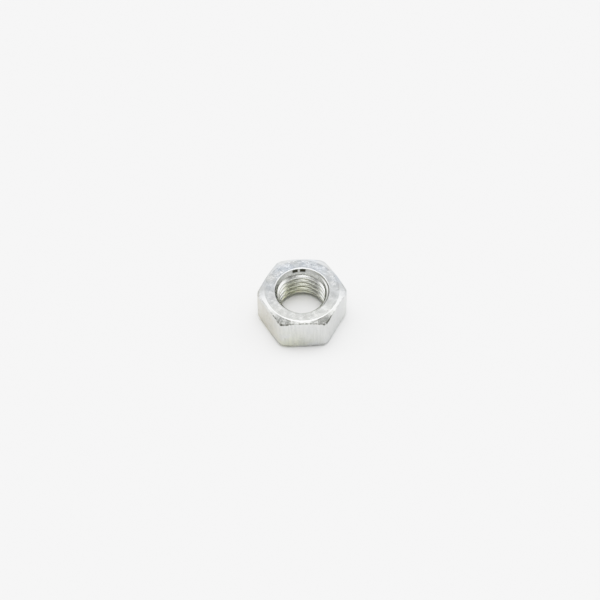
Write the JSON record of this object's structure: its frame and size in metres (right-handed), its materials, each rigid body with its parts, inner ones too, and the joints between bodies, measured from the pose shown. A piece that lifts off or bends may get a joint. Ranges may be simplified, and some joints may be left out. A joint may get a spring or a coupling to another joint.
{
  "type": "hex nut",
  "caption": "Plain hex nut of zinc-plated steel: chamfered hexagon with a coarse right-hand thread right through and a countersink at each end.",
  "frame": {"origin": "centre of the lower bearing face, on the thread's axis", "axes": "+Z along the thread's axis, from the lower bearing face to the upper one; +X through a corner of the hexagon; +Y out of the middle of a flat"},
  "size_m": [0.027, 0.024, 0.0126],
  "materials": {
    "zinc_plated_steel": "bright zinc plating, satin, with faint turned lines on the faces and drawn lines along the flats"
  },
  "bodies": {
    "root": {"hex_nut": "zinc_plated_steel"}
  },
  "joints": []
}
